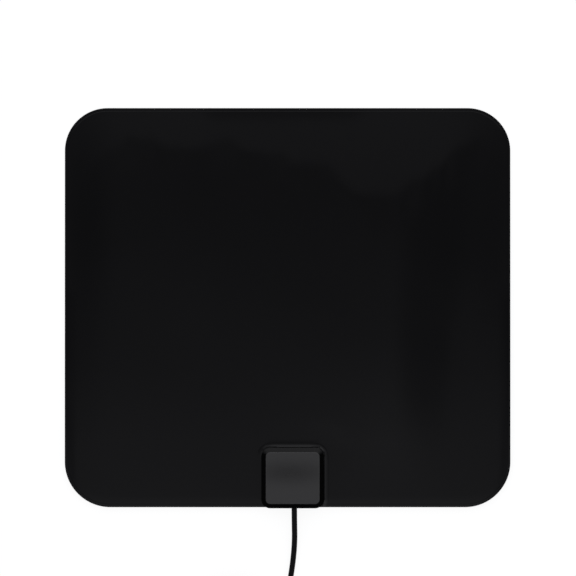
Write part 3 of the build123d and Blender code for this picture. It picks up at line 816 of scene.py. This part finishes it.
lead_points = np.concatenate([run_route, coil_points(), tail_route])
lead_curve = bpy.data.curves.new("coaxial_lead", "CURVE")
lead_curve.dimensions = "3D"
lead_spline = lead_curve.splines.new("NURBS")
lead_spline.points.add(len(lead_points) - 1)
lead_weights = np.ones(len(lead_points))
lead_spline.points.foreach_set("co", np.column_stack([lead_points, lead_weights]).ravel())
lead_spline.order_u = 3
lead_spline.use_endpoint_u = True
lead_spline.resolution_u = 5
lead_curve.bevel_depth = lead_diameter / 2
lead_curve.bevel_resolution = 4
lead_curve.use_fill_caps = True

# Extruded PVC jacket: satin black, with faint drawing lines and a few duller scuffs.
lead_curve.materials.append(grained_plastic(
    "extruded_pvc_jacket", "#040405", "#070708", cloud_size=4.0 * mm, cloud_detail=4.0,
    grain_size=0.5 * mm, grain_detail=2.0, grain_depth=0.02 * mm, grain_strength=0.15,
    rough=(0.3, 0.42), specular=0.07,
))
lead = bpy.data.objects.new("coaxial_lead", lead_curve)
bpy.context.scene.collection.objects.link(lead)
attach(lead, "root")
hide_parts("cable_run", "cable_coil", "cable_tail")

# Coil tie
# Black PVC-coated wire tie: a flat band drawn round the bundle of turns, whose two ends are twisted
# together on the coil's outside.
tie_width = 4.0 * mm
tie_thickness = 0.6 * mm
tie_half_across = 6.15 * mm
tie_half_high = 5.25 * mm
tie_end_radius = 0.45 * mm
tie_end_length = 8.3 * mm
tie_end_twists = 2.5
tie_end_clear = 1.03
tie_tip_spread = 1.4
tie_tip_from = 0.8


def tie_place(radial, sideways, height):
    """Points of the tie in the part's frame, from their distance from the coil's axis in the tie's
    direction, their distance along the turns, and their height."""
    x = coil_centre[0] + radial * cos(tie_angle) - sideways * sin(tie_angle)
    y = coil_centre[1] + radial * sin(tie_angle) + sideways * cos(tie_angle)
    return np.stack([x, y, height], axis=-1)


def tie_band():
    """Band: a flattened oval strip carried round a superellipse of power 5 about the bundle's
    middle, and set off from that line along its normal."""
    steps, sides = 112, 16
    line_power, normal_power = 0.4, 1.6
    thick_power, wide_power = 0.6, 0.5
    along = np.linspace(0, 2 * pi, steps, endpoint=False)[:, None]
    over = np.linspace(0, 2 * pi, sides, endpoint=False)
    c, s = np.cos(along), np.sin(along)
    radial = tie_half_across * np.sign(c) * np.abs(c) ** line_power
    height = tie_half_high * np.sign(s) * np.abs(s) ** line_power
    out_r = np.sign(c) * np.abs(c) ** normal_power / tie_half_across
    out_z = np.sign(s) * np.abs(s) ** normal_power / tie_half_high
    size = np.hypot(out_r, out_z)
    lift = tie_thickness / 2 * np.sign(np.sin(over)) * np.abs(np.sin(over)) ** thick_power
    sideways = tie_width / 2 * np.sign(np.cos(over)) * np.abs(np.cos(over)) ** wide_power
    return tie_place(
        bundle_radius + radial + out_r / size * lift,
        np.broadcast_to(sideways, (len(along), len(over))),
        bundle_height + height + out_z / size * lift,
    )


def tie_end(phase):
    """One twisted end: a round wire on a helix about the radial line, which opens out at the tip.
    Its circle is drawn from the helix's outward normal and the cross product of that with the
    helix's direction."""
    steps, sides = 61, 12
    s = np.linspace(0, 1, steps)
    turn = 2 * pi * tie_end_twists * s + phase
    away = tie_end_radius * (tie_end_clear + tie_tip_spread * ease(tie_tip_from, 1.0, s))
    line = np.stack([tie_end_length * s, away * np.cos(turn), away * np.sin(turn)], axis=-1)
    outward = np.stack([0 * s, np.cos(turn), np.sin(turn)], axis=-1)
    direction = np.gradient(line, axis=0)
    direction /= np.linalg.norm(direction, axis=1, keepdims=True)
    across = np.cross(outward, direction)
    round_wire = np.linspace(0, 2 * pi, sides, endpoint=False)[None, :, None]
    circle = np.cos(round_wire) * outward[:, None] + np.sin(round_wire) * across[:, None]
    points = line[:, None] + tie_end_radius * circle
    root = bundle_radius + tie_half_across
    return tie_place(root + points[..., 0], points[..., 1], bundle_height + points[..., 2])


def tube_faces(rings, sides, start, closed):
    """Faces of a grid of rings that join into a tube. A closed one meets its own first ring again,
    and an open one has a cap at each end."""
    ring = np.arange(rings if closed else rings - 1)[:, None]
    side = np.arange(sides)
    here = ring * sides + side
    there = (ring + 1) % rings * sides + side
    after = (side + 1) % sides - side
    quads = np.stack([here, there, there + after, here + after], axis=-1).reshape(-1, 4)
    faces = (quads + start).tolist()
    if not closed:
        faces.append((side + start).tolist())
        faces.append((side[::-1] + (rings - 1) * sides + start).tolist())
    return faces


tie_points = []
tie_faces = []
for grid, closed in ((tie_band(), True), (tie_end(0.0), False), (tie_end(pi), False)):
    tie_faces += tube_faces(*grid.shape[:2], sum(map(len, tie_points)), closed)
    tie_points.append(grid.reshape(-1, 3))

# PVC coating: smooth satin black with a soft shine and faint crease marks.
tie_pvc = grained_plastic(
    "pvc_coated_tie", "#0a0a0b", "#151516", cloud_size=1.5 * mm, cloud_detail=3.0,
    grain_size=1.5 * mm, grain_detail=3.0, grain_depth=0.05 * mm, grain_strength=0.2,
    rough=(0.3, 0.48),
)
tie = make_piece("wire_tie", np.concatenate(tie_points), tie_faces, tie_pvc)
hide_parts("coil_tie")

# Plug
# Coaxial aerial plug: a fluted PVC grip moulded over the lead with a grooved strain relief, a
# turned and plated brass sleeve, and a plated pin in a white insulator.

# Moulded PVC: soft satin black, with the tool's fine grain and worn patches a little smoother.
dress("plug_grip", grained_plastic(
    "moulded_pvc_grip", "#0b0b0c", "#141415", cloud_size=6.0 * mm, cloud_detail=2.0,
    grain_size=0.45 * mm, grain_detail=3.0, grain_depth=0.03 * mm, grain_strength=0.25,
    rough=(0.58, 0.38),
))

# Nickel plating over turned brass: warm and bright, with fine rings round it from the lathe.
nickel = streaked_metal(
    "nickel_plated_brass", "#c8c3b9", streak_size=0.15 * mm, squeeze=(1.0, 0.02, 0.02),
    rough=(0.12, 0.3),
)
dress("plug_shell", nickel)
dress("plug_insulator", polyethylene)
dress("plug_pin", nickel)

# Studio
# A white table under a soft surround of light, with the camera straight above the panel.
view_centre = (0.22 * mm, 10.55 * mm)
view_size = 310.5 * mm
camera_height = 3.0
camera_data = bpy.data.cameras.new("camera")
camera_data.sensor_width = 36.0
camera_data.lens = camera_data.sensor_width * camera_height / view_size
camera_data.clip_end = 100.0
camera = bpy.data.objects.new("camera", camera_data)
camera.location = (*view_centre, camera_height)
bpy.context.scene.collection.objects.link(camera)
bpy.context.scene.camera = camera


def white_table():
    """White board: to the camera it is plain white, with only a trace of the object's shadow."""
    white_share = 0.85
    white_strength = 1.05
    material, tree, _ = start_material("white_table")
    path = add_node(tree, "ShaderNodeLightPath")
    mirrored = add_node(
        tree, "ShaderNodeMath",
        {"Value": path.outputs["Is Glossy Ray"], "Value_001": path.outputs["Is Transmission Ray"]},
        operation="MAXIMUM",
    )
    seen = add_node(
        tree, "ShaderNodeMath",
        {"Value": path.outputs["Is Camera Ray"], "Value_001": mirrored.outputs[0]},
        operation="MAXIMUM",
    )
    share = add_node(
        tree, "ShaderNodeMath",
        {"Value": seen.outputs[0], "Value_001": white_share}, operation="MULTIPLY",
    )
    board = add_node(tree, "ShaderNodeBsdfDiffuse", {"Color": linear("#f4f4f4")})
    white = add_node(
        tree, "ShaderNodeEmission", {"Color": (1.0, 1.0, 1.0, 1.0), "Strength": white_strength}
    )
    lit = add_node(
        tree, "ShaderNodeMixShader",
        {"Fac": share.outputs[0], "Shader": board.outputs[0], "Shader_001": white.outputs[0]},
    )
    back = add_node(tree, "ShaderNodeNewGeometry").outputs["Backfacing"]
    clear = add_node(tree, "ShaderNodeBsdfTransparent")
    surface = add_node(
        tree, "ShaderNodeMixShader",
        {"Fac": back, "Shader": lit.outputs[0], "Shader_001": clear.outputs[0]},
    )
    end_material(tree, surface)
    material.cycles.emission_sampling = "NONE"
    return material


table_half = 15.0
table_level = -0.3 * mm
table_mesh = bpy.data.meshes.new("table")
table_mesh.from_pydata(
    [
        (x * table_half, y * table_half, table_level)
        for x, y in ((-1, -1), (1, -1), (1, 1), (-1, 1))
    ],
    [], [(0, 1, 2, 3)],
)
table_mesh.materials.append(white_table())
table = bpy.data.objects.new("table", table_mesh)
bpy.context.scene.collection.objects.link(table)

# The surround is a ring of light, a little brighter to the north. A soft dark hole overhead, wider
# across than along and turned north, is what the glossy film mirrors to the camera, with a darker
# shade in it at each side. Low down it is dark, which the polished bevel of the box mirrors, but
# for a dim strip to the north, and it is white again at the horizon.
hole_tilt = radians(2.5)
hole_squeeze = 0.3
hole_degrees = 12.0
hole_reach = radians(hole_degrees)
hole_edge = (radians(7.0), radians(17.0))
hole_levels = [
    (0, 0.095), (0.5, 0.101), (1, 0.12), (1.6, 0.141),
    (2.8, 0.168), (4.5, 0.2), (6, 0.28), (9, 0.45),
]
shade_bearing = (sin(radians(3.8)), sin(radians(1.5)), 0.0)
shade_half = (radians(2.2), radians(4.5))
shade_depth = 0.45
ring_levels = [
    (0, 0.92), (60, 0.92), (70, 0.15), (75, 0.015),
    (84, 0.015), (88, 0.8), (90, 0.95), (180, 0.95),
]
north_levels = [
    (0, 0.95), (60, 0.95), (70, 0.8), (74, 0.5), (77, 0.21),
    (84, 0.21), (88, 0.6), (90, 0.65), (180, 0.65),
]
light_colour = linear("#fafaff")
north_strength = 1.5
north_edge = (0.3, 0.9)
surround = bpy.data.worlds.new("surround")
surround.use_nodes = True
sky = surround.node_tree
sky.nodes.clear()
direction = add_node(sky, "ShaderNodeTexCoord").outputs["Generated"]


def light_levels(share, full, levels):
    """Colour ramp over a share of a full angle in degrees, from pairs of degrees and levels."""
    ramp = add_node(sky, "ShaderNodeValToRGB", {"Fac": share})
    stops = ramp.color_ramp.elements
    for index, (degrees_off, level) in enumerate(levels):
        stop = stops[index] if index < 2 else stops.new(degrees_off / full)
        stop.position = degrees_off / full
        stop.color = (*(level * c for c in light_colour[:3]), 1.0)
    return ramp.outputs[0]


hole_axis = (0.0, sin(hole_tilt), 0.0)
off_axis = add_node(
    sky, "ShaderNodeVectorMath",
    {"Vector": direction, "Vector_001": hole_axis}, operation="SUBTRACT",
)
squeezed = add_node(
    sky, "ShaderNodeVectorMath",
    {"Vector": off_axis.outputs[0], "Vector_001": (hole_squeeze / hole_reach, 1 / hole_reach, 0.0)},
    operation="MULTIPLY",
)
from_hole = add_node(
    sky, "ShaderNodeVectorMath", {"Vector": squeezed.outputs[0]}, operation="LENGTH"
)
hole_light = light_levels(from_hole.outputs["Value"], hole_degrees, hole_levels)
either_side = add_node(sky, "ShaderNodeVectorMath", {"Vector": direction}, operation="ABSOLUTE")
off_shade = add_node(
    sky, "ShaderNodeVectorMath",
    {"Vector": either_side.outputs[0], "Vector_001": shade_bearing}, operation="SUBTRACT",
)
shade_span = add_node(
    sky, "ShaderNodeVectorMath",
    {"Vector": off_shade.outputs[0], "Vector_001": (1 / shade_half[0], 1 / shade_half[1], 0.0)},
    operation="MULTIPLY",
)
from_shade = add_node(
    sky, "ShaderNodeVectorMath", {"Vector": shade_span.outputs[0]}, operation="LENGTH"
)
shade = add_node(
    sky, "ShaderNodeMapRange",
    {"Value": from_shade.outputs["Value"], "To Min": 1 - shade_depth, "To Max": 1.0},
    interpolation_type="SMOOTHSTEP",
)
hole_shaded = add_node(
    sky, "ShaderNodeVectorMath",
    {"Vector": hole_light, "Scale": shade.outputs[0]}, operation="SCALE",
)
height = add_node(sky, "ShaderNodeSeparateXYZ", {"Vector": direction}).outputs["Z"]
zenith_angle = add_node(sky, "ShaderNodeMath", {"Value": height}, operation="ARCCOSINE")
zenith_share = add_node(
    sky, "ShaderNodeMath", {"Value": zenith_angle.outputs[0], "Value_001": pi}, operation="DIVIDE"
)
ring_light = light_levels(zenith_share.outputs[0], 180, ring_levels)
north_light = light_levels(zenith_share.outputs[0], 180, north_levels)
level_part = add_node(
    sky, "ShaderNodeVectorMath",
    {"Vector": direction, "Vector_001": (1.0, 1.0, 0.0)}, operation="MULTIPLY",
)
bearing = add_node(
    sky, "ShaderNodeVectorMath", {"Vector": level_part.outputs[0]}, operation="NORMALIZE"
)
northward = add_node(sky, "ShaderNodeSeparateXYZ", {"Vector": bearing.outputs[0]}).outputs["Y"]
to_north = add_node(
    sky, "ShaderNodeMapRange",
    {"Value": northward, "From Min": north_edge[0], "From Max": north_edge[1]},
    interpolation_type="SMOOTHSTEP",
)
north_lit = add_node(
    sky, "ShaderNodeVectorMath", {"Vector": north_light, "Scale": north_strength}, operation="SCALE"
)
ring = add_node(
    sky, "ShaderNodeMix",
    {"Factor_Float": to_north.outputs[0], "A_Color": ring_light, "B_Color": north_lit.outputs[0]},
    data_type="RGBA",
)
off_hole = add_node(
    sky, "ShaderNodeMapRange",
    {"Value": zenith_angle.outputs[0], "From Min": hole_edge[0], "From Max": hole_edge[1]},
    interpolation_type="SMOOTHSTEP",
)
whole = add_node(
    sky, "ShaderNodeMix",
    {
        "Factor_Float": off_hole.outputs[0], "A_Color": hole_shaded.outputs[0],
        "B_Color": ring.outputs[2],
    },
    data_type="RGBA",
)
light = add_node(sky, "ShaderNodeBackground", {"Color": whole.outputs[2]})
add_node(sky, "ShaderNodeOutputWorld", {"Surface": light.outputs[0]})
bpy.context.scene.world = surround
bpy.context.scene.view_settings.view_transform = "Standard"
